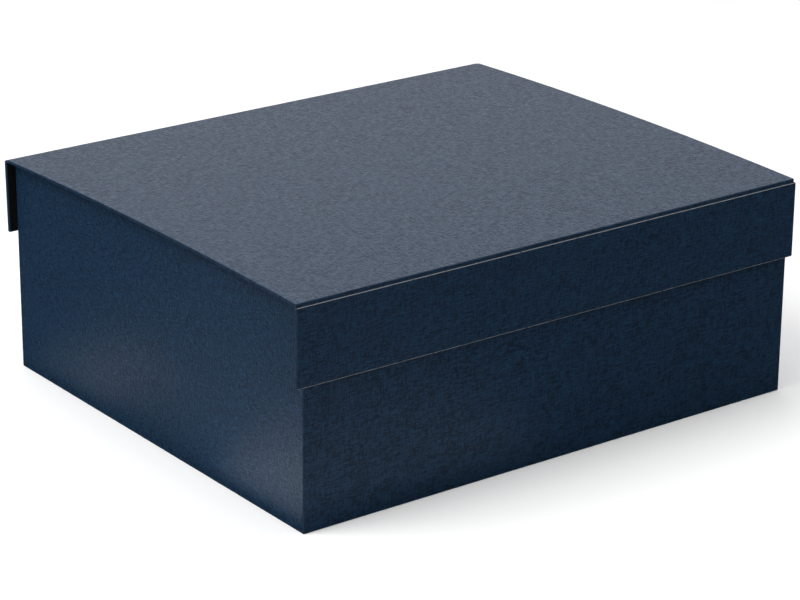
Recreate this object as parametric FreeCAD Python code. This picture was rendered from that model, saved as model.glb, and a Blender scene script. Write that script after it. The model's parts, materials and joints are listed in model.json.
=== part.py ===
import FreeCAD, Part
import math
import os

# A rigid storage box of grey board covered in paper: an open tray with plain walls, and a
# separate lid of three boards. The lid's top board is crowned from front to back, and a flap
# hangs from a paper crease along each of its two long sides. The short ends have no flap.
# +X runs along the long side, -Y faces the front, +Z is up, and the origin is the middle of
# the underside. All lengths are in millimetres.

# ---------------------------------------------------------------- driving dimensions
TRAY_LENGTH = 400.0  # outside, along X
TRAY_DEPTH = 343.0  # outside, along Y
TRAY_HEIGHT = 150.0  # outside, underside to rim

BOARD = 2.0  # grey board
COVER = 0.2  # cover paper with its glue
LINING = 0.2  # lining paper with its glue
STAY_TAPE = 0.1  # gummed paper tape that holds each upright corner
STAY_LEG = 20.0  # width of that tape on each side of a corner
TURN_IN = 4.0  # turned-in cover paper that shows beyond a lining's edge
UNDER_TURN_IN = 15.0  # cover paper folded under the tray

LID_OVERHANG = 4.8  # lid past the tray, at each short end
LID_SHIFT = -1.4  # the loose lid sits this far along X
LID_LEFT_INSET = 0.1  # the top board's ends stop this far inside the flaps' ends
LID_RIGHT_INSET = 1.6
LID_CROWN = 3.0  # rise of the lid's middle over the line from its front edge to its back one
LID_FRONT_LIFT = 1.1  # the top board's front edge stands this far over its back one
FRONT_SHOULDER = 1.0  # outer face of the front flap past the paper on the top board's end
FRONT_STEP = 0.2  # underside of the lid's front edge down to the front flap's upper edge
FRONT_UNFOLDED_GAP = 3.2  # top board to front flap when that crease is laid flat
BACK_GROOVE = 2.95  # end of the top board to the back flap's inner face
BACK_STEP = 1.3  # top of the lid's back edge down to the back flap's upper edge
BACK_UNFOLDED_GAP = 0.6  # top board to back flap when that crease is laid flat
CREASE_SLACK = 0.1  # a crease's paper stops this far from the flap's far face
FRONT_HEM = 98.2  # height of the front flap's hem
BACK_HEM = 99.9  # the same at the back, before it leans
BACK_LEAN = 1.2  # degrees, the back flap's hem pressed towards the wall
CLEARANCE = 0.3  # between pieces that move apart

# ---------------------------------------------------------------- derived places
HALF_LENGTH = TRAY_LENGTH / 2
HALF_DEPTH = TRAY_DEPTH / 2
BOARD_HALF_LENGTH = HALF_LENGTH - COVER
BOARD_HALF_DEPTH = HALF_DEPTH - COVER
INNER_HALF_LENGTH = BOARD_HALF_LENGTH - BOARD
INNER_HALF_DEPTH = BOARD_HALF_DEPTH - BOARD
FLOOR_TOP = COVER + BOARD
WALL_TOP = TRAY_HEIGHT - COVER
LINING_TOP = TRAY_HEIGHT - TURN_IN

FLAP_THICKNESS = COVER + BOARD + COVER
FLAP_ENDS = (LID_SHIFT - HALF_LENGTH - LID_OVERHANG, LID_SHIFT + HALF_LENGTH + LID_OVERHANG)
LID_ENDS = (FLAP_ENDS[0] + LID_LEFT_INSET, FLAP_ENDS[1] - LID_RIGHT_INSET)
BACK_BOTTOM = TRAY_HEIGHT + CLEARANCE + COVER  # underside of the top board at its back edge
BACK_TOP = BACK_BOTTOM + BOARD + COVER
FRONT_BOTTOM = BACK_BOTTOM + LID_FRONT_LIFT
FRONT_TOP = BACK_TOP + LID_FRONT_LIFT

# Front crease: the top board ends over the flap's upper edge, and the paper between them
# turns about a line near the flap's outer corner, which lays the flap level with the board.
FRONT_INNER = HALF_DEPTH + CLEARANCE  # distance of a flap's inner face from the middle
FRONT_OUTER = FRONT_INNER + FLAP_THICKNESS
FRONT_FLAP_TOP = FRONT_BOTTOM - COVER - FRONT_STEP
LID_FRONT = COVER + FRONT_SHOULDER - FRONT_OUTER
FRONT_REACH = FRONT_OUTER - FRONT_SHOULDER + FRONT_UNFOLDED_GAP + FRONT_FLAP_TOP
FRONT_AXIS_OUT = (FRONT_OUTER - FRONT_TOP + FRONT_REACH) / 2
FRONT_AXIS_HEIGHT = FRONT_TOP - FRONT_OUTER + FRONT_AXIS_OUT

# Back crease: a groove between the board's end and the flap's inner face.
BACK_FLAP_TOP = BACK_TOP - BACK_STEP
BACK_MID_HEIGHT = (BACK_BOTTOM - COVER + BACK_TOP) / 2
BACK_SPAN = BACK_GROOVE + FLAP_THICKNESS / 2
BACK_AXIS_HEIGHT = (BACK_MID_HEIGHT + BACK_FLAP_TOP + BACK_UNFOLDED_GAP - BACK_SPAN) / 2
BACK_AXIS_PAST_LID = (BACK_FLAP_TOP - BACK_MID_HEIGHT + BACK_UNFOLDED_GAP + BACK_SPAN) / 2
LEAN_TRAVEL = (BACK_AXIS_HEIGHT - BACK_HEM) * math.sin(math.radians(BACK_LEAN))
BACK_INNER = HALF_DEPTH + CLEARANCE + LEAN_TRAVEL
LID_BACK = BACK_INNER - BACK_GROOVE

# The underside of the top board is an arc from its front edge to its back one.
LID_SPAN = LID_BACK - LID_FRONT
LID_CHORD = math.hypot(LID_SPAN, LID_FRONT_LIFT)
CROWN_RADIUS = LID_CHORD**2 / (8 * LID_CROWN) + LID_CROWN / 2
CROWN_DROP = CROWN_RADIUS - LID_CROWN
CROWN_MIDDLE = (LID_FRONT + LID_BACK) / 2 - CROWN_DROP * LID_FRONT_LIFT / LID_CHORD
CROWN_CENTRE = (FRONT_BOTTOM + BACK_BOTTOM) / 2 - CROWN_DROP * LID_SPAN / LID_CHORD

PAST = 1.0  # how far a cutting block runs past what it cuts


# ---------------------------------------------------------------- helpers
def block(x_range, y_range, z_range):
    """A box between two values on each axis, given in either order."""
    low = [min(r) for r in (x_range, y_range, z_range)]
    size = [abs(r[1] - r[0]) for r in (x_range, y_range, z_range)]
    return Part.makeBox(*size, FreeCAD.Vector(*low))


def slab(half_x, half_y, z_range):
    """A box centred on the Z axis."""
    return block((-half_x, half_x), (-half_y, half_y), z_range)


def crowned(low, high, x_range):
    """A layer of the lid's top, between two heights over the board's underside, that follows
    the crown from the front crease to the back one."""

    def on_arc(y, layer):
        radius = CROWN_RADIUS + layer
        rise = math.sqrt(radius**2 - (y - CROWN_MIDDLE) ** 2)
        return FreeCAD.Vector(x_range[0], y, CROWN_CENTRE + rise)

    bottom = [on_arc(y, low) for y in (LID_FRONT, CROWN_MIDDLE, LID_BACK)]
    top = [on_arc(y, high) for y in (LID_FRONT, CROWN_MIDDLE, LID_BACK)]
    outline = [
        Part.Arc(*bottom).toShape(),
        Part.makeLine(bottom[-1], top[-1]),
        Part.Arc(*reversed(top)).toShape(),
        Part.makeLine(top[0], bottom[0]),
    ]
    length = FreeCAD.Vector(x_range[1] - x_range[0], 0, 0)
    return Part.Face(Part.Wire(outline)).extrude(length)


def save(name, shape):
    shape.exportStep(f"parts/{name}.step")


# ---------------------------------------------------------------- tray
def tray_boards():
    """The floor board, and four wall boards that stand on it."""
    walls = (FLOOR_TOP, WALL_TOP)
    long_side = (-BOARD_HALF_LENGTH, BOARD_HALF_LENGTH)
    short_side = (-INNER_HALF_DEPTH, INNER_HALF_DEPTH)
    save("bottom_board", slab(BOARD_HALF_LENGTH, BOARD_HALF_DEPTH, (COVER, FLOOR_TOP)))
    for name, side in (("front_wall_board", -1), ("back_wall_board", 1)):
        thickness = (side * INNER_HALF_DEPTH, side * BOARD_HALF_DEPTH)
        save(name, block(long_side, thickness, walls))
    for name, side in (("left_wall_board", -1), ("right_wall_board", 1)):
        thickness = (side * INNER_HALF_LENGTH, side * BOARD_HALF_LENGTH)
        save(name, block(thickness, short_side, walls))


def corner_stays():
    """An angle of tape round each upright corner, under the cover paper."""
    boards = slab(BOARD_HALF_LENGTH, BOARD_HALF_DEPTH, (0, TRAY_HEIGHT))
    stays = []
    for x_side in (-1, 1):
        for y_side in (-1, 1):
            x_range = [x_side * (BOARD_HALF_LENGTH + d) for d in (-STAY_LEG, STAY_TAPE)]
            y_range = [y_side * (BOARD_HALF_DEPTH + d) for d in (-STAY_LEG, STAY_TAPE)]
            stays.append(block(x_range, y_range, (COVER, WALL_TOP)).cut(boards))
    return Part.makeCompound(stays)


def tray_cover_paper(stays):
    """One skin over the walls' outsides and rim, turned in at the rim and under the floor."""
    outside = slab(HALF_LENGTH, HALF_DEPTH, (0, TRAY_HEIGHT))
    boards = slab(BOARD_HALF_LENGTH, BOARD_HALF_DEPTH, (COVER, WALL_TOP))
    mouth = slab(
        INNER_HALF_LENGTH - COVER, INNER_HALF_DEPTH - COVER, (WALL_TOP - PAST, TRAY_HEIGHT + PAST)
    )
    window = slab(HALF_LENGTH - UNDER_TURN_IN, HALF_DEPTH - UNDER_TURN_IN, (-PAST, COVER))
    skin = outside.cut([boards, mouth, window])
    rim_turn_in = slab(INNER_HALF_LENGTH, INNER_HALF_DEPTH, (LINING_TOP, WALL_TOP)).cut(
        slab(
            INNER_HALF_LENGTH - COVER,
            INNER_HALF_DEPTH - COVER,
            (LINING_TOP - PAST, WALL_TOP + PAST),
        )
    )
    return skin.fuse(rim_turn_in).removeSplitter().cut(stays)


def tray_papers():
    """The base sheet under the floor, and the lining inside."""
    base = slab(HALF_LENGTH - UNDER_TURN_IN, HALF_DEPTH - UNDER_TURN_IN, (0, COVER))
    face_x = INNER_HALF_LENGTH - LINING
    face_y = INNER_HALF_DEPTH - LINING
    room = slab(face_x, face_y, (FLOOR_TOP - PAST, LINING_TOP + PAST))
    walls = slab(INNER_HALF_LENGTH, INNER_HALF_DEPTH, (FLOOR_TOP, LINING_TOP)).cut(room)
    floor = slab(face_x, face_y, (FLOOR_TOP, FLOOR_TOP + LINING))
    save("base_sheet", base)
    save("tray_wall_lining", walls)
    save("tray_floor_lining", floor)


# ---------------------------------------------------------------- lid
def lid_top():
    """The crowned top board, its cover paper turned in at the short ends, and its lining."""
    board_ends = (LID_ENDS[0] + COVER, LID_ENDS[1] - COVER)
    lining_ends = (board_ends[0] + TURN_IN, board_ends[1] - TURN_IN)
    top_skin = crowned(BOARD, BOARD + COVER, LID_ENDS)
    end_skins = [
        crowned(0, BOARD, (LID_ENDS[0], board_ends[0])),
        crowned(0, BOARD, (board_ends[1], LID_ENDS[1])),
        crowned(-COVER, 0, (LID_ENDS[0], lining_ends[0])),
        crowned(-COVER, 0, (lining_ends[1], LID_ENDS[1])),
    ]
    save("lid_top_board", crowned(0, BOARD, board_ends))
    save("lid_top_cover_paper", top_skin.fuse(end_skins).removeSplitter())
    save("lid_top_lining", crowned(-LINING, 0, lining_ends))


def front_crease():
    """The cover paper down the top board's front end and out over the flap's upper edge, and
    the lining that turns down behind the flap."""
    end = (LID_FRONT - COVER, LID_FRONT)
    ledge = (CREASE_SLACK - FRONT_OUTER, LID_FRONT)
    drop = block(LID_ENDS, end, (FRONT_BOTTOM, FRONT_TOP))
    over_flap = block(LID_ENDS, ledge, (FRONT_BOTTOM - COVER, FRONT_BOTTOM))
    save("front_crease_paper", drop.fuse(over_flap).removeSplitter())
    behind = (LINING / 4 - FRONT_INNER, LINING * 5 / 4 - FRONT_INNER)
    height = (TRAY_HEIGHT + LINING, FRONT_BOTTOM - LINING)
    save("front_crease_lining", block(LID_ENDS, behind, height))


def back_crease():
    """The cover paper down the top board's back end and across the groove, and the lining
    that crosses below it."""
    groove = (LID_BACK, LID_BACK + BACK_GROOVE - CREASE_SLACK)
    drop = block(LID_ENDS, (LID_BACK, LID_BACK + COVER), (BACK_BOTTOM, BACK_TOP))
    across = block(LID_ENDS, groove, (BACK_BOTTOM, BACK_BOTTOM + COVER))
    save("back_crease_paper", drop.fuse(across).removeSplitter())
    save("back_crease_lining", block(LID_ENDS, groove, (BACK_BOTTOM - LINING, BACK_BOTTOM)))


def flap(side, inner, hem, top, lean):
    """A flap's board, the cover paper round its outer face and all four edges, and the lining
    on its inner face, leaning by an angle about the back crease."""
    outer = inner + FLAP_THICKNESS
    board_y = (side * (inner + COVER), side * (outer - COVER))
    board_x = (FLAP_ENDS[0] + COVER, FLAP_ENDS[1] - COVER)
    lining_x = (board_x[0] + TURN_IN, board_x[1] - TURN_IN)
    lining_z = (hem + COVER + TURN_IN, BACK_BOTTOM - LINING)
    board = block(board_x, board_y, (hem + COVER, top - COVER))
    window = block(lining_x, (side * (inner - PAST), board_y[0]), lining_z)
    cover = block(FLAP_ENDS, (side * inner, side * outer), (hem, top)).cut([board, window])
    lining = block(lining_x, (board_y[0] - side * LINING, board_y[0]), lining_z)
    centre = FreeCAD.Vector(0, LID_BACK + BACK_AXIS_PAST_LID, BACK_AXIS_HEIGHT)
    for shape in (board, cover, lining):
        shape.rotate(centre, FreeCAD.Vector(1, 0, 0), -lean)
    return board, cover, lining


def main():
    os.makedirs("parts", exist_ok=True)
    tray_boards()
    stays = corner_stays()
    save("corner_stays", stays)
    save("tray_cover_paper", tray_cover_paper(stays))
    tray_papers()
    lid_top()
    front_crease()
    back_crease()
    for name, side, inner, hem, top, lean in (
        ("front", -1, FRONT_INNER, FRONT_HEM, FRONT_FLAP_TOP, 0.0),
        ("back", 1, BACK_INNER, BACK_HEM, BACK_FLAP_TOP, BACK_LEAN),
    ):
        board, cover, lining = flap(side, inner, hem, top, lean)
        save(f"{name}_flap_board", board)
        save(f"{name}_flap_cover_paper", cover)
        save(f"{name}_flap_lining", lining)
    back_axis = LID_BACK + BACK_AXIS_PAST_LID
    print(f"front crease turns about y {-FRONT_AXIS_OUT:.3f} z {FRONT_AXIS_HEIGHT:.3f}")
    print(f"back crease turns about y {back_axis:.3f} z {BACK_AXIS_HEIGHT:.3f}")
    print(f"lid board y {LID_FRONT:.3f} to {LID_BACK:.3f}, underside {FRONT_BOTTOM:.2f}")
    print(f"lid edge tops {FRONT_TOP:.2f} and {BACK_TOP:.2f}, flap tops {FRONT_FLAP_TOP:.2f}")
    print(f"crown radius {CROWN_RADIUS:.1f} about y {CROWN_MIDDLE:.2f}")


main()
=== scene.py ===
"""The looks of a paper-covered storage box: an open tray, and a lid with two creased flaps.

Every paper is a thin closed skin with rounded folds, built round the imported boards. Lengths
are in metres, +Z is up and -Y faces the front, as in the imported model.
"""

import json
import math

import bmesh
import bpy
from mathutils import Matrix, Vector


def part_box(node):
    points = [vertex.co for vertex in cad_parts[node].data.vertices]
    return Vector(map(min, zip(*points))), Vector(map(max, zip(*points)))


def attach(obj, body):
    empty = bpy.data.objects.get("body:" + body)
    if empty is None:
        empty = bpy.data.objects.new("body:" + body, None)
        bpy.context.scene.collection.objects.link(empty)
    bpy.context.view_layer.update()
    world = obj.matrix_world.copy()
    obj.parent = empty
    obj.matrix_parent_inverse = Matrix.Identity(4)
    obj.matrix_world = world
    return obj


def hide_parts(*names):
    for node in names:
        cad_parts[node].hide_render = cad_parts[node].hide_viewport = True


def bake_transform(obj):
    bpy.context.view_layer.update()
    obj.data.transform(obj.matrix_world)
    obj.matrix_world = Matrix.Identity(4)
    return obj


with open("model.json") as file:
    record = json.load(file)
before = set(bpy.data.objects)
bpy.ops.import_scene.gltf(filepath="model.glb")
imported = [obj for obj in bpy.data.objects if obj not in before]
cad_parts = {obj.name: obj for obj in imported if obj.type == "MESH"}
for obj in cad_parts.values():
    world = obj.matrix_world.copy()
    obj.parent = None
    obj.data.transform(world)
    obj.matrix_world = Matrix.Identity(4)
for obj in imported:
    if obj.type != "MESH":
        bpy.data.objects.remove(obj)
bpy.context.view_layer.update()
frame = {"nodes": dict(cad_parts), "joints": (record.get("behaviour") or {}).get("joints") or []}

# ---------------------------------------------------------------- places read from the frame
TRAY_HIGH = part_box("tray_cover_paper")[1]
WALL_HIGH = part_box("front_wall_board")[1]
FLOOR_LOW, FLOOR_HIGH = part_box("bottom_board")
LINING_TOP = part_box("tray_wall_lining")[1].z
BASE_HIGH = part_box("base_sheet")[1]
LID_LOW, LID_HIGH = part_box("lid_top_cover_paper")
LID_BOARD_LOW, LID_BOARD_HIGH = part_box("lid_top_board")
FRONT_LOW, FRONT_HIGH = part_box("front_flap_cover_paper")
BACK_LOW, BACK_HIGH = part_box("back_flap_cover_paper")
CREASE_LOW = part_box("front_crease_paper")[0]
GROOVE_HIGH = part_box("back_crease_paper")[1]
BACK_HINGE = next(Vector(j["pos_m"]) for j in frame["joints"] if j["name"] == "lid_tip")

MM = 0.001
CREASE_SLACK = 0.1 * MM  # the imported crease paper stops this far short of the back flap

COVER = TRAY_HIGH.x - WALL_HIGH.x  # cover paper with its glue
WALL = COVER + FLOOR_HIGH.z - FLOOR_LOW.z + COVER  # a board with paper on both sides
TRAY_HALF = Vector((TRAY_HIGH.x, TRAY_HIGH.y))
LID_MIDDLE = Vector(((LID_LOW.x + LID_HIGH.x) / 2, (LID_BOARD_LOW.y + LID_BOARD_HIGH.y) / 2))
LID_HALF = Vector((LID_HIGH.x - LID_MIDDLE.x, LID_BOARD_HIGH.y - LID_MIDDLE.y + COVER))
FRONT_UNDER = CREASE_LOW.z  # underside of the lid's front edge, and next of its back edge
BACK_UNDER = LID_BOARD_LOW.z - COVER
CROWN_TOP = LID_HIGH.z - WALL  # highest point of the lid's underside
FLAP_HALF_LENGTH = (FRONT_HIGH.x - FRONT_LOW.x) / 2
FLAP_MIDDLE = (FRONT_HIGH.x + FRONT_LOW.x) / 2
FRONT_INNER = FRONT_HIGH.y
BACK_INNER = GROOVE_HIGH.y + CREASE_SLACK

# ---------------------------------------------------------------- the paper's own sizes
PAPER = 0.1 * MM
GLUE = 0.02 * MM  # between two layers of paper
LAP = 2 * MM  # how far a lining laps a turned-in edge
TURN_IN = 4 * MM  # turned-in cover paper that shows beyond a lining
MARGIN = COVER + TURN_IN  # from a covered board's edge to its lining
BACK_MARGIN = 1.2 * MM  # at the back flap the lining comes closer to the edge
LINING_SHORT = 1.1 * MM  # a flap's lining stops this far below the flap's upper edge
SHEET_CORNER = 0.5 * MM
FLOOR_CORNER = 0.3 * MM
UNDER_STEP = 0.12 * MM  # the base sheet stands this proud of the paper folded under
STAY_LEG = 20 * MM

# The back flap's lean, hem towards the wall, and then its measures before it leans.
BACK_LEAN = math.radians(1.2)
BACK_HEIGHT = (BACK_HIGH.z - BACK_LOW.z - WALL * math.sin(BACK_LEAN)) / math.cos(BACK_LEAN)
BACK_PAST = (BACK_INNER - BACK_HINGE.y) * math.sin(BACK_LEAN)
BACK_TOP = BACK_HINGE.z + (BACK_HIGH.z - BACK_HINGE.z + BACK_PAST) / math.cos(BACK_LEAN)

UPRIGHT_FOLD = 1.1 * MM  # radii of the folds, outside
RIM_FOLD = 0.8 * MM
FOOT_FOLD = 0.8 * MM
LID_TOP_FOLD = 0.4 * MM
LID_UNDER_FOLD = 0.6 * MM
FLAP_OUTER_FOLD = 1.1 * MM
FLAP_INNER_FOLD = 0.7 * MM
GROOVE_FOLD = 0.35 * MM
TUCK_FOLD = 0.3 * MM
TIGHTEST_FOLD = 0.06 * MM

ARC_STEPS = 6
SUPPORT = 0.2 * MM  # a point this close to each fold keeps the flat faces flat
LONG_STEPS = 16
CREASE_STEPS = 6
SHORT_STEPS = 3
SHARPEST_SMOOTH = math.radians(50)  # faces that meet at more than this have a sharp edge


# ---------------------------------------------------------------- outlines
def run(start, end, steps):
    """Points between two ends, both left out: one close to each end, and even steps between."""
    length = (end - start).length
    if length < 3 * SUPPORT:  # too short to hold any
        return []
    shares = [(SUPPORT + (length - 2 * SUPPORT) * i / steps) / length for i in range(steps + 1)]
    return [start.lerp(end, share) for share in shares]


def fold(before, corner, after, radius):
    """Points of the arc that rounds the corner between two straight runs."""
    back = (before - corner).normalized()
    ahead = (after - corner).normalized()
    half = back.angle(ahead) / 2
    centre = corner + (back + ahead).normalized() * (radius / math.sin(half))
    arm = corner + back * (radius / math.tan(half)) - centre
    turn = math.copysign(math.pi - 2 * half, (-back).cross(ahead))
    return [centre + Matrix.Rotation(turn * i / ARC_STEPS, 2) @ arm for i in range(ARC_STEPS + 1)]


def path(corners, steps=SHORT_STEPS):
    """An open line through (place, fold radius) corners, each one but its ends rounded."""
    places = [Vector(place) for place, _ in corners]
    points = [places[0]]
    for i in range(1, len(corners)):
        arc = [places[-1]]
        if i < len(corners) - 1:
            arc = fold(places[i - 1], places[i], places[i + 1], corners[i][1])
        points += run(points[-1], arc[0], steps) + arc
    return points


def outline(half, radius):
    """Points round a rectangle with rounded corners: an arc then a side, four times, and
    the same number whatever the size."""
    points = []
    arm = Vector((0, -radius))
    x, y = half.x - radius, half.y - radius
    centres = [Vector(place) for place in ((x, -y), (x, y), (-x, y), (-x, -y))]
    for k, centre in enumerate(centres):
        for i in range(ARC_STEPS + 1):
            turn = math.pi / 2 * (k + i / ARC_STEPS)
            points.append(centre + Matrix.Rotation(turn, 2) @ arm)
        following = centres[(k + 1) % len(centres)]
        points += run(points[-1], following + (points[-1] - centre), LONG_STEPS)
    return points


def inset(half, depth):
    """Half the sizes of a rectangle that lies a depth inside another."""
    return half - Vector((depth, depth))


# ---------------------------------------------------------------- skins
def ring_rows(mesh, profile, half, corner, place):
    """A skin whose profile, in (depth inwards, height), runs round a rounded rectangle."""
    rows = []
    for depth, height in profile:
        loop = outline(inset(half, depth), max(corner - depth, TIGHTEST_FOLD))
        rows.append([mesh.verts.new(place(p.x, p.y, height)) for p in loop])
    for lower, upper in zip(rows, rows[1:]):
        for i in range(len(lower)):
            j = (i + 1) % len(lower)
            mesh.faces.new((lower[i], lower[j], upper[j], upper[i]))
    return rows


def fill(mesh, row, half, radius, height, place):
    """Closes an outline's ring with a grid, four side strips and four corner fans."""
    side = LONG_STEPS + 1
    block = ARC_STEPS + 1 + side
    inner = inset(half, radius)
    ring = outline(half, radius)
    front = ring[3 * block + ARC_STEPS + 1:][:side]
    right = ring[ARC_STEPS + 1:][:side]
    xs = [-inner.x] + [p.x for p in front] + [inner.x]
    ys = [-inner.y] + [p.y for p in right] + [inner.y]
    grid = [[mesh.verts.new(place(x, y, height)) for y in ys] for x in xs]
    for i in range(len(xs) - 1):
        for j in range(len(ys) - 1):
            cell = (grid[i][j], grid[i + 1][j], grid[i + 1][j + 1], grid[i][j + 1])
            mesh.faces.new(cell)
    edges = (
        [grid[-1][j] for j in range(len(ys))],
        [grid[i][-1] for i in reversed(range(len(xs)))],
        [grid[0][j] for j in reversed(range(len(ys)))],
        [grid[i][0] for i in range(len(xs))],
    )
    for k, edge in enumerate(edges):
        arc = [row[k * block + i] for i in range(ARC_STEPS + 1)]
        for a, b in zip(arc, arc[1:]):
            mesh.faces.new((edge[0], a, b))
        outer = [row[(k * block + ARC_STEPS + i) % len(row)] for i in range(side + 2)]
        for i in range(len(edge) - 1):
            mesh.faces.new((edge[i], outer[i], outer[i + 1], edge[i + 1]))


def ribbon(mesh, points, reach, place):
    """A skin along X, as far each way as its reach, whose (across, height) line is given."""
    ends = Vector((-reach, 0)), Vector((reach, 0))
    xs = [p.x for p in (ends[0], *run(*ends, LONG_STEPS), ends[1])]
    rows = [[mesh.verts.new(place(x, p.x, p.y)) for x in xs] for p in points]
    for lower, upper in zip(rows, rows[1:]):
        for i in range(len(xs) - 1):
            mesh.faces.new((lower[i], lower[i + 1], upper[i + 1], upper[i]))


def thicken(mesh, thickness):
    """Makes a closed sheet from an open skin, with its thickness behind the skin's face."""
    mesh.normal_update()
    faces = list(mesh.faces)
    rim = [(loop.vert, loop.link_loop_next.vert) for face in faces for loop in face.loops
           if loop.edge.is_boundary]
    behind = {v: mesh.verts.new(v.co - v.normal * thickness) for v in list(mesh.verts)}
    for face in faces:
        mesh.faces.new([behind[v] for v in reversed(face.verts)])
    for a, b in rim:
        mesh.faces.new((b, a, behind[a], behind[b]))


def worn_share(normal):
    """How far a point on a fold faces away from all of the flat faces, from 0 to 1."""
    flat, ridge = 0.985, 0.785  # greatest share of the normal along an axis, for 0 and for 1
    straightest = max(abs(normal.x), abs(normal.y), abs(normal.z))
    return min(1.0, max(0.0, (flat - straightest) / (flat - ridge)))


def finished(name, mesh, slot, node, body=None):
    """Wraps up a mesh as a piece that stands for a CAD node and rides on a body, if given."""
    bmesh.ops.recalc_face_normals(mesh, faces=mesh.faces)
    mesh.normal_update()
    layer = mesh.verts.layers.float.new("fold_wear")
    for v in mesh.verts:
        v[layer] = worn_share(v.normal)
    data = bpy.data.meshes.new(name)
    mesh.to_mesh(data)
    mesh.free()
    data.polygons.foreach_set("use_smooth", [True] * len(data.polygons))
    data.set_sharp_from_angle(angle=SHARPEST_SMOOTH)
    piece = bpy.data.objects.new(name, data)
    bpy.context.scene.collection.objects.link(piece)
    data.materials.append(MATERIALS[slot])
    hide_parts(node)
    if body:
        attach(piece, body)
    return piece


# ---------------------------------------------------------------- materials
SPAN = (0.3, 0.7)  # nearly all of a noise's values lie between these
OFFSET_WAY = (1, 1.7, 0.6)  # the way a noise is moved, so that no two look alike

COVER_DARK = (0.0020, 0.0110, 0.0280)
COVER_LIGHT = (0.0090, 0.0350, 0.0770)
COVER_CLOUD = (0.0070, 0.0270, 0.0600)
COVER_WORN = (0.0200, 0.0380, 0.0650)
COVER_ROUGH = 0.38
COVER_SPECULAR = 0.3
# The lining's tones: black paper made darker than real black paper, as painted shade for the shaded
# gaps where the lining shows.
LINING_BLACK_AND_SHADE_DARK = (0.0030, 0.0030, 0.0035)
LINING_BLACK_AND_SHADE_LIGHT = (0.0055, 0.0055, 0.0063)
LINING_BLACK_AND_SHADE_CLOUD = (0.0070, 0.0070, 0.0078)
LINING_SPECULAR = 0.08
BOARD_DARK = (0.27, 0.25, 0.22)
BOARD_LIGHT = (0.40, 0.37, 0.33)
BOARD_FLECK = (0.12, 0.11, 0.10)
TAPE_DARK = (0.33, 0.22, 0.12)
TAPE_LIGHT = (0.47, 0.33, 0.20)
FLOOR_PALE = (0.93, 0.93, 0.93)


class Shade:
    """A material's node tree, with short calls to add and join its nodes."""

    def __init__(self, name):
        self.material = bpy.data.materials.new(name)
        self.material.use_nodes = True
        self.nodes = self.material.node_tree.nodes
        self.links = self.material.node_tree.links
        self.surface = self.nodes["Principled BSDF"]
        self.place = self.nodes.new("ShaderNodeTexCoord").outputs["Object"]

    def join(self, source, target):
        if isinstance(source, (int, float)):
            target.default_value = source
        elif isinstance(source, tuple):
            target.default_value = (*source, 1.0)
        else:
            self.links.new(source, target)

    def noise(self, size, stretch=(1, 1, 1), detail=2.0, roughness=0.5, offset=0.0):
        """Noise whose grains are about a size in metres, and longer along stretched axes."""
        mapping = self.nodes.new("ShaderNodeMapping")
        mapping.inputs["Scale"].default_value = [1 / (size * s) for s in stretch]
        mapping.inputs["Location"].default_value = [offset * way for way in OFFSET_WAY]
        self.links.new(self.place, mapping.inputs["Vector"])
        node = self.nodes.new("ShaderNodeTexNoise")
        node.inputs["Scale"].default_value = 1.0
        node.inputs["Detail"].default_value = detail
        node.inputs["Roughness"].default_value = roughness
        self.links.new(mapping.outputs["Vector"], node.inputs["Vector"])
        return node.outputs["Fac"]

    def maths(self, operation, a, b, c=None):
        node = self.nodes.new("ShaderNodeMath")
        node.operation = operation
        for value, socket in zip((a, b, c), node.inputs):
            if value is not None:
                self.join(value, socket)
        return node.outputs["Value"]

    def spread(self, value, low, high, to_low=0.0, to_high=1.0):
        """A value's range laid over another range, and held at its ends."""
        node = self.nodes.new("ShaderNodeMapRange")
        for source, socket in zip((value, low, high, to_low, to_high), node.inputs):
            self.join(source, socket)
        return node.outputs["Result"]

    def blend(self, share, a, b):
        node = self.nodes.new("ShaderNodeMix")
        node.data_type = "RGBA"
        self.join(share, node.inputs["Factor"])
        self.join(a, node.inputs["A"])
        self.join(b, node.inputs["B"])
        return next(s for s in node.outputs if s.type == "RGBA")

    def bump(self, height, distance, strength=1.0):
        node = self.nodes.new("ShaderNodeBump")
        node.inputs["Strength"].default_value = strength
        node.inputs["Distance"].default_value = distance
        self.links.new(height, node.inputs["Height"])
        self.links.new(node.outputs["Normal"], self.surface.inputs["Normal"])

    def attribute(self, name):
        node = self.nodes.new("ShaderNodeAttribute")
        node.attribute_name = name
        return node.outputs["Fac"]


def cover_paper():
    """Satin navy paper embossed with a fine linen grain, a little paler along its folds."""
    s = Shade("satin_navy_paper")
    threads = [
        s.noise(0.8 * MM, stretch, detail=1.0)
        for stretch in ((7, 1, 1), (1, 7, 1), (1, 1, 7))
    ]
    linen = s.maths("ADD", s.maths("ADD", threads[0], threads[1]), threads[2])
    pulp = s.noise(2.0 * MM, (1.6, 1, 1), detail=4.0, roughness=0.7, offset=3.0)
    cloud = s.noise(45 * MM, detail=3.0, offset=7.0)
    height = s.maths("MULTIPLY_ADD", pulp, 1.6, s.maths("MULTIPLY", linen, 0.5))
    worn = s.maths("MULTIPLY", s.attribute("fold_wear"), s.spread(pulp, *SPAN, 0.5, 1.0))
    mottle = s.maths("MULTIPLY_ADD", linen, 0.5, s.maths("MULTIPLY", pulp, 0.5))
    tone = s.spread(mottle, 0.88, 1.12)
    colour = s.blend(tone, COVER_DARK, COVER_LIGHT)
    colour = s.blend(s.spread(cloud, *SPAN, 0.0, 0.25), colour, COVER_CLOUD)
    colour = s.blend(s.maths("MULTIPLY", worn, 0.75), colour, COVER_WORN)
    s.join(colour, s.surface.inputs["Base Color"])
    s.join(s.spread(mottle, 0.9, 1.1, COVER_ROUGH + 0.1, COVER_ROUGH - 0.1),
           s.surface.inputs["Roughness"])
    s.surface.inputs["Specular IOR Level"].default_value = COVER_SPECULAR
    s.bump(height, 0.35 * MM, 1.0)
    return s.material


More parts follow.
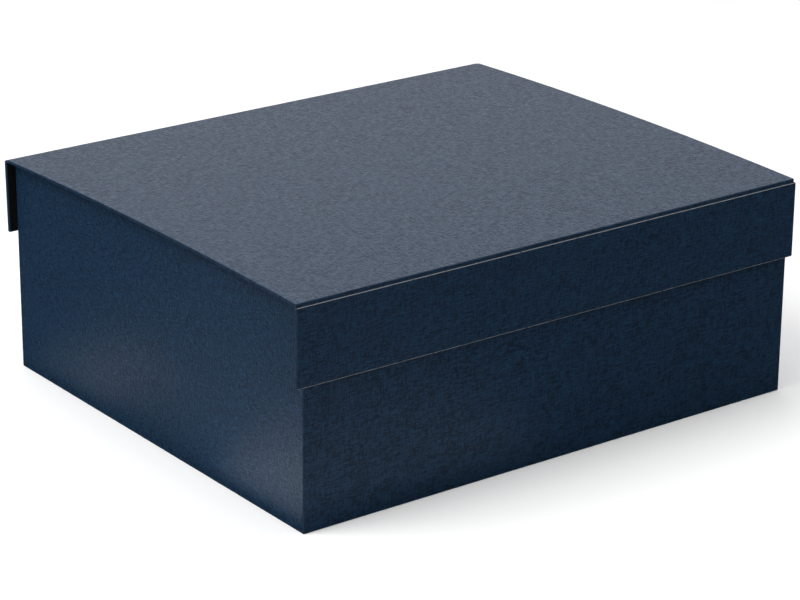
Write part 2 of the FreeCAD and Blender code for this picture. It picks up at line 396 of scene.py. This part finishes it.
def lining_paper():
    """Matte black paper with a soft felt-side grain. Its colours are darker than real black paper:
    partly the paper's own black, partly painted shade.
    """
    s = Shade("matte_black_paper_and_painted_shade")
    fibres = s.noise(0.7 * MM, (2.5, 1, 1), detail=4.0, roughness=0.6)
    cloud = s.noise(30 * MM, detail=2.0, offset=5.0)
    # The lining's own black, darkened further by painted shade.
    colour = s.blend(s.spread(fibres, *SPAN), LINING_BLACK_AND_SHADE_DARK, LINING_BLACK_AND_SHADE_LIGHT)
    colour = s.blend(s.spread(cloud, *SPAN, 0.0, 0.4), colour, LINING_BLACK_AND_SHADE_CLOUD)
    s.join(colour, s.surface.inputs["Base Color"])
    s.join(s.spread(fibres, *SPAN, 0.95, 0.85), s.surface.inputs["Roughness"])
    s.surface.inputs["Specular IOR Level"].default_value = LINING_SPECULAR
    s.bump(fibres, 0.04 * MM, 0.5)
    return s.material


def grey_board():
    """Recycled grey board, speckled, with soft flecks of other pulp."""
    s = Shade("recycled_grey_board")
    pulp = s.noise(1.1 * MM, detail=5.0, roughness=0.7)
    flecks = s.noise(2.4 * MM, (2.0, 1, 1), detail=1.0, offset=11.0)
    colour = s.blend(s.spread(pulp, *SPAN), BOARD_DARK, BOARD_LIGHT)
    colour = s.blend(s.spread(flecks, 0.66, 0.72), colour, BOARD_FLECK)
    s.join(colour, s.surface.inputs["Base Color"])
    s.join(s.spread(pulp, *SPAN, 0.95, 0.85), s.surface.inputs["Roughness"])
    s.bump(pulp, 0.1 * MM, 0.6)
    return s.material


def kraft_tape():
    """Brown gummed tape with long fibres."""
    s = Shade("gummed_kraft_tape")
    fibres = s.noise(0.5 * MM, (1, 1, 7), detail=4.0, roughness=0.65)
    colour = s.blend(s.spread(fibres, *SPAN), TAPE_DARK, TAPE_LIGHT)
    s.join(colour, s.surface.inputs["Base Color"])
    s.join(s.spread(fibres, *SPAN, 0.7, 0.55), s.surface.inputs["Roughness"])
    s.bump(fibres, 0.04 * MM, 0.6)
    return s.material


MATERIALS = {
    "navy_cover_paper": cover_paper(),
    "black_lining_paper": lining_paper(),
    "grey_board": grey_board(),
    "kraft_stay_tape": kraft_tape(),
}


# ---------------------------------------------------------------- tray
def upright(x, y, z):
    return Vector((x, y, z))


def tray_cover():
    """Folded under the floor, up the walls' outsides, over the rim and down inside it."""
    under = TRAY_HIGH.x - BASE_HIGH.x
    profile = path((
        ((under + LAP, UNDER_STEP), 0),
        ((under - LAP / 4, UNDER_STEP), TIGHTEST_FOLD),
        ((under - LAP / 2, 0), TIGHTEST_FOLD),
        ((0, 0), FOOT_FOLD),
        ((0, TRAY_HIGH.z), RIM_FOLD),
        ((WALL, TRAY_HIGH.z), RIM_FOLD),
        ((WALL, LINING_TOP - LAP), 0),
    ))
    mesh = bmesh.new()
    ring_rows(mesh, profile, TRAY_HALF, UPRIGHT_FOLD, upright)
    thicken(mesh, PAPER)
    finished("tray_cover", mesh, "navy_cover_paper", "tray_cover_paper", "tray")


def lining_sheet(name, node, body, half, height, corner, place):
    """A flat sheet of lining paper, whose place decides which way it faces."""
    mesh = bmesh.new()
    row = ring_rows(mesh, [(0, height)], half, corner, place)[0]
    fill(mesh, row, half, corner, height, place)
    thicken(mesh, PAPER)
    finished(name, mesh, "black_lining_paper", node, body)


def tray_linings():
    """The lining pasted inside: a band round the walls and a sheet on the floor."""
    face = WALL + GLUE + PAPER
    mesh = bmesh.new()
    profile = path((((face, LINING_TOP), 0), ((face, FLOOR_HIGH.z), 0)), LONG_STEPS)
    ring_rows(mesh, profile, TRAY_HALF, TIGHTEST_FOLD, upright)
    thicken(mesh, PAPER)
    finished("wall_lining", mesh, "black_lining_paper", "tray_wall_lining", "tray")
    half = inset(TRAY_HALF, face + GLUE)
    top = FLOOR_HIGH.z + COVER
    lining_sheet("floor_lining", "tray_floor_lining", "tray", half, top, FLOOR_CORNER, upright)


def under_sheet():
    """The sheet pasted under the floor, over the edges of the cover paper folded under."""
    half = Vector((BASE_HIGH.x, BASE_HIGH.y))

    def beneath(x, y, z):
        return Vector((-x, y, -z))

    lining_sheet("under_sheet", "base_sheet", "tray", half, 0.0, SHEET_CORNER, beneath)


def corner_tapes():
    """Gummed tape bent round each upright corner, between the boards and the cover paper."""
    mesh = bmesh.new()
    outside = inset(TRAY_HALF, PAPER + GLUE)
    fold_radius = UPRIGHT_FOLD - PAPER - GLUE
    low, high = FLOOR_LOW.z + FOOT_FOLD, WALL_HIGH.z - RIM_FOLD
    for x_side in (-1, 1):
        for y_side in (-1, 1):
            corner = Vector((x_side * outside.x, y_side * outside.y))
            legs = (corner - Vector((x_side * STAY_LEG, 0)), corner - Vector((0, y_side * STAY_LEG)))
            first, last = legs if x_side * y_side < 0 else legs[::-1]
            line = path(((first, 0), (corner, fold_radius), (last, 0)))
            rows = [[mesh.verts.new((p.x, p.y, z)) for p in line] for z in (low, high)]
            for i in range(len(line) - 1):
                mesh.faces.new((rows[0][i], rows[0][i + 1], rows[1][i + 1], rows[1][i]))
    thicken(mesh, PAPER - 2 * GLUE)
    finished("corner_tapes", mesh, "kraft_stay_tape", "corner_stays", "tray")


# ---------------------------------------------------------------- lid
COVER_REACH = LID_HALF.x - LID_TOP_FOLD / 2  # how far each way along X a crease's papers go
LINING_REACH = LID_HALF.x - MARGIN
FRONT_END = LID_MIDDLE.y - LID_HALF.y + COVER  # of the top board, as is the next
BACK_END = LID_MIDDLE.y + LID_HALF.y - COVER
FRONT_RISE = math.sqrt(CROWN_TOP - FRONT_UNDER)
BACK_RISE = math.sqrt(CROWN_TOP - BACK_UNDER)
CROWN_Y = FRONT_END + (BACK_END - FRONT_END) * FRONT_RISE / (FRONT_RISE + BACK_RISE)


def crowned(x, y, height):
    """Lays the lid's top out: centred on it, and over its bowed underside by a height."""
    y += LID_MIDDLE.y
    bow = BACK_RISE * (y - CROWN_Y) / (BACK_END - CROWN_Y)
    return Vector((x + LID_MIDDLE.x, y, CROWN_TOP - bow * bow + height))


def beneath_lid(x, y, height):
    return crowned(-x, y, -height)


def board_cover(name, node, body, half, inner_fold, outer_fold, place):
    """Cover paper over a board's outer face and round its edges, turned in on its inner face."""
    rim = outer_fold * 2
    profile = path((
        ((MARGIN + LAP, 0), 0),
        ((0, 0), inner_fold),
        ((0, WALL), outer_fold),
        ((rim, WALL), 0),
    ))
    mesh = bmesh.new()
    rows = ring_rows(mesh, profile, half, outer_fold, place)
    fill(mesh, rows[-1], inset(half, rim), TIGHTEST_FOLD, WALL, place)
    thicken(mesh, PAPER)
    finished(name, mesh, "navy_cover_paper", node, body)


def lid_top():
    """The cover paper round the top board, and the lining that laps it underneath."""
    board_cover("lid_cover", "lid_top_cover_paper", "lid_top", LID_HALF, LID_UNDER_FOLD,
                LID_TOP_FOLD, crowned)
    lining_sheet("lid_lining", "lid_top_lining", "lid_top", inset(LID_HALF, MARGIN),
                 GLUE + PAPER, SHEET_CORNER, beneath_lid)


def flap(name, side, body, inner, top, height, margin, lean=0.0):
    """The cover paper round a flap's board, and the lining that laps it behind."""
    to_hinge = Matrix.Translation(BACK_HINGE)
    swing = to_hinge @ Matrix.Rotation(-lean, 4, "X") @ to_hinge.inverted()
    middle = top - height / 2

    def stand(x, up, out):
        return swing @ Vector((FLAP_MIDDLE - side * x, inner + side * out, middle + up))

    def stand_behind(x, up, out):
        return stand(-x, up + (margin - LINING_SHORT) / 2, -out)

    half = Vector((FLAP_HALF_LENGTH, height / 2))
    board_cover(f"{name}_flap_cover", f"{name}_flap_cover_paper", body, half, FLAP_INNER_FOLD,
                FLAP_OUTER_FOLD, stand)
    half = Vector((FLAP_HALF_LENGTH - margin, (height - margin - LINING_SHORT) / 2))
    lining_sheet(f"{name}_lining", f"{name}_flap_lining", body, half, GLUE + PAPER,
                 SHEET_CORNER, stand_behind)


def crease(name, body, node, slot, side, corners, reach, start, end):
    """A strip of paper that bends with a crease, from (out past the lid, height) corners."""
    face = LID_MIDDLE.y + side * LID_HALF.y

    def across(x, out, z):
        return Vector((LID_MIDDLE.x - side * x, face + side * out, z))

    line = path(corners, CREASE_STEPS)
    mesh = bmesh.new()
    ribbon(mesh, line if side < 0 else line[::-1], reach, across)
    thicken(mesh, PAPER)
    piece = finished(name, mesh, slot, node)
    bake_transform(piece)


def front_creases():
    """Cover paper down the lid's front end and out over the flap's fold, and the lining
    that turns down behind the flap."""
    top = FRONT_UNDER + WALL - LID_TOP_FOLD
    shoulder = FRONT_HIGH.z
    proud = 0.07 * MM  # of the paper on the lid's end
    tucked_in = (-0.08 * MM, top + 0.12 * MM)
    down = (proud, top - 0.1 * MM)
    turn = (proud, shoulder + GLUE)
    under_fold = (0.55 * MM, shoulder - 0.3 * MM)
    corners = ((tucked_in, 0), (down, TUCK_FOLD), (turn, GROOVE_FOLD), (under_fold, 0))
    crease("front_crease_cover", "front_flap", "front_crease_paper", "navy_cover_paper", -1,
           corners, COVER_REACH, (0, top), (0.5 * MM, shoulder - 0.2 * MM))
    under = FRONT_UNDER - GLUE - PAPER
    behind = LID_MIDDLE.y - LID_HALF.y - FRONT_INNER + GLUE
    hem = TRAY_HIGH.z + GLUE
    corners = (((-MARGIN, under), 0), ((behind, under), GROOVE_FOLD), ((behind, hem), 0))
    crease("front_crease_bridge", "front_flap", "front_crease_lining", "black_lining_paper", -1,
           corners, LINING_REACH, (behind - 1 * MM, under), (behind, TRAY_HIGH.z + 0.3 * MM))


def back_creases():
    """Cover paper across the groove behind the lid, and the lining below it."""
    span = BACK_INNER - LID_MIDDLE.y - LID_HALF.y
    groove = BACK_UNDER + 2 * COVER
    tucked_in = (-0.07 * MM, groove + 0.75 * MM)
    foot = (0.05 * MM, groove)
    turn = (span - 0.25 * MM, groove)
    over_fold = (span + 0.3 * MM, BACK_TOP - 0.25 * MM)
    corners = ((tucked_in, 0), (foot, GROOVE_FOLD), (turn, GROOVE_FOLD), (over_fold, 0))
    ends = ((0, groove), (span, groove))
    crease("back_crease_cover", "back_flap", "back_crease_paper", "navy_cover_paper", 1,
           corners, COVER_REACH, *ends)
    under = BACK_UNDER - GLUE - PAPER
    behind = span - GLUE
    hem = BACK_UNDER - LINING_SHORT
    corners = (((-MARGIN, under), 0), ((behind, under), GROOVE_FOLD), ((behind, hem), 0))
    crease("back_crease_bridge", "back_flap", "back_crease_lining", "black_lining_paper", 1,
           corners, LINING_REACH, *ends)


tray_cover()
tray_linings()
under_sheet()
corner_tapes()
lid_top()
flap("front", -1, "front_flap", FRONT_INNER, FRONT_HIGH.z, FRONT_HIGH.z - FRONT_LOW.z, MARGIN)
flap("back", 1, "back_flap", BACK_INNER, BACK_TOP, BACK_HEIGHT, BACK_MARGIN, BACK_LEAN)
front_creases()
back_creases()


# ---------------------------------------------------------------- boards
def rounded_boards():
    """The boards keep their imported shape, with worn edges and a board's grain."""
    for name, node in frame["nodes"].items():
        if not name.endswith("_board"):
            continue
        weld = node.modifiers.new("joined_corners", "WELD")
        weld.merge_threshold = 0.01 * MM
        bevel = node.modifiers.new("worn_edges", "BEVEL")
        bevel.width = UPRIGHT_FOLD - COVER
        bevel.segments = 3
        bevel.limit_method = "ANGLE"
        node.data.materials.clear()
        node.data.materials.append(MATERIALS["grey_board"])


rounded_boards()


# ---------------------------------------------------------------- stage
def floor():
    """A plain pale floor, left out of reflections so that the walls keep their colour."""
    mesh = bmesh.new()
    far = FLOOR_REACH
    corners = ((-far, -far), (far, -far), (far, far), (-far, far))
    mesh.faces.new([mesh.verts.new((x, y, 0)) for x, y in corners])
    data = bpy.data.meshes.new("floor")
    mesh.to_mesh(data)
    mesh.free()
    piece = bpy.data.objects.new("floor", data)
    bpy.context.scene.collection.objects.link(piece)
    s = Shade("pale_floor")
    s.join(FLOOR_PALE, s.surface.inputs["Base Color"])
    s.surface.inputs["Roughness"].default_value = 0.9
    s.surface.inputs["Specular IOR Level"].default_value = 0.1
    data.materials.append(s.material)
    piece.visible_glossy = False


def direction(azimuth, elevation):
    """From the object towards a place round it; azimuth 0 is in front, and positive is right."""
    a, e = math.radians(azimuth), math.radians(elevation)
    return Vector((math.sin(a) * math.cos(e), -math.cos(a) * math.cos(e), math.sin(e)))


def panel(name, size, power):
    """A rectangular light, with its size in metres and its power in watts."""
    data = bpy.data.lights.new(name, "AREA")
    data.shape = "RECTANGLE"
    data.size, data.size_y = size
    data.energy = power
    lamp = bpy.data.objects.new(name, data)
    bpy.context.scene.collection.objects.link(lamp)
    return lamp


def softbox(name, azimuth, elevation, distance, size, power):
    """A panel of light that stands off from the box and faces it."""
    lamp = panel(name, size, power)
    back = direction(azimuth, elevation)
    lamp.location = SOFTBOX_AIM + back * distance
    lamp.rotation_mode = "QUATERNION"
    lamp.rotation_quaternion = (-back).to_track_quat("-Z", "Y")


def floor_glow(name, place, size, power):
    """A soft patch of light from the floor beside the box, as from a reflector lying there."""
    lamp = panel(name, size, power)
    lamp.location = (*place, GLOW_HEIGHT)
    lamp.rotation_euler = (math.pi, 0, 0)
    lamp.visible_camera = False


def surroundings():
    """A studio that is dim in front and low down, and bright behind the box and above it."""
    world = bpy.data.worlds.new("studio")
    world.use_nodes = True
    nodes, links = world.node_tree.nodes, world.node_tree.links
    background = nodes["Background"]
    place = nodes.new("ShaderNodeTexCoord")
    levels = []
    for towards, stops in STUDIO:
        facing = nodes.new("ShaderNodeVectorMath")
        facing.operation = "DOT_PRODUCT"
        facing.inputs[1].default_value = towards
        lift = nodes.new("ShaderNodeMapRange")
        lift.inputs["From Min"].default_value = -1.0
        ramp = nodes.new("ShaderNodeValToRGB")
        ramp.color_ramp.elements[0].position = stops[0][0]
        ramp.color_ramp.elements[1].position = stops[-1][0]
        for position, _ in stops[1:-1]:
            ramp.color_ramp.elements.new(position)
        for element, (_, level) in zip(ramp.color_ramp.elements, stops):
            element.color = (level, level, level * STUDIO_BLUE, 1)
        links.new(place.outputs["Generated"], facing.inputs[0])
        links.new(facing.outputs["Value"], lift.inputs["Value"])
        links.new(lift.outputs["Result"], ramp.inputs["Fac"])
        levels.append(ramp.outputs["Color"])
    both = nodes.new("ShaderNodeVectorMath")
    both.operation = "MULTIPLY"
    links.new(levels[0], both.inputs[0])
    links.new(levels[1], both.inputs[1])
    links.new(both.outputs["Vector"], background.inputs["Color"])
    background.inputs["Strength"].default_value = STUDIO_LEVEL
    bpy.context.scene.world = world


def camera():
    """The viewing angle: round the box, above it, and how far its long lens stands off."""
    azimuth, elevation, roll = -36.843, 20.741, math.radians(0.433)
    distance, target = 2.0472, Vector((-0.0154, -0.0225, 0.068))
    back = direction(azimuth, elevation)
    right = (-back).cross(Vector((0, 0, 1))).normalized()
    up = right.cross(-back)
    x_axis = right * math.cos(roll) + up * math.sin(roll)
    y_axis = up * math.cos(roll) - right * math.sin(roll)
    data = bpy.data.cameras.new("camera")
    data.lens = 135.61
    data.sensor_width = 36.0
    data.clip_start, data.clip_end = 0.05, 50.0
    view = bpy.data.objects.new("camera", data)
    turned = Matrix((x_axis, y_axis, back)).transposed().to_4x4()
    view.matrix_world = Matrix.Translation(target + back * distance) @ turned
    bpy.context.scene.collection.objects.link(view)
    bpy.context.scene.camera = view


FLOOR_REACH = 12.0
STUDIO_LEVEL = 1.22
STUDIO_BLUE = 1.02  # how much bluer than grey it is
STUDIO = (  # ramps over how far a direction leans towards: straight up, then behind
    ((0, 0, 1), ((0.0, 0.0), (0.5, 0.03), (0.56, 0.8), (1.0, 0.8))),
    (direction(157, 0), ((0.0, 0.03), (0.5, 0.04), (0.72, 0.1), (0.92, 1.0), (1.0, 1.2))),
)
SOFTBOX_AIM = Vector((0, 0, 0.1))
SOFTBOXES = (  # name, azimuth, elevation, distance, size, power
    ("left_panel", -105, 45, 2.6, (1.8, 1.8), 55),
    ("front_panel", -15, 45, 2.6, (1.2, 1.2), 7),
    ("top_panel", -60, 80, 4.0, (4.5, 4.5), 108),
    ("right_panel", 70, 52, 2.6, (1.6, 1.2), 18),
)
GLOW_HEIGHT = 3 * MM
GLOWS = (  # name, place on the floor, size, power
    ("left_glow", (-0.27, -0.02), (0.11, 0.28), 0.025),
    ("corner_glow", (-0.25, -0.11), (0.08, 0.10), 0.03),
    ("far_glow", (-0.24, 0.12), (0.06, 0.10), 0.009),
    ("front_glow", (-0.10, -0.215), (0.20, 0.04), 0.014),
)

floor()
surroundings()
for row in SOFTBOXES:
    softbox(*row)
for row in GLOWS:
    floor_glow(*row)
camera()
bpy.context.scene.view_settings.view_transform = "Standard"
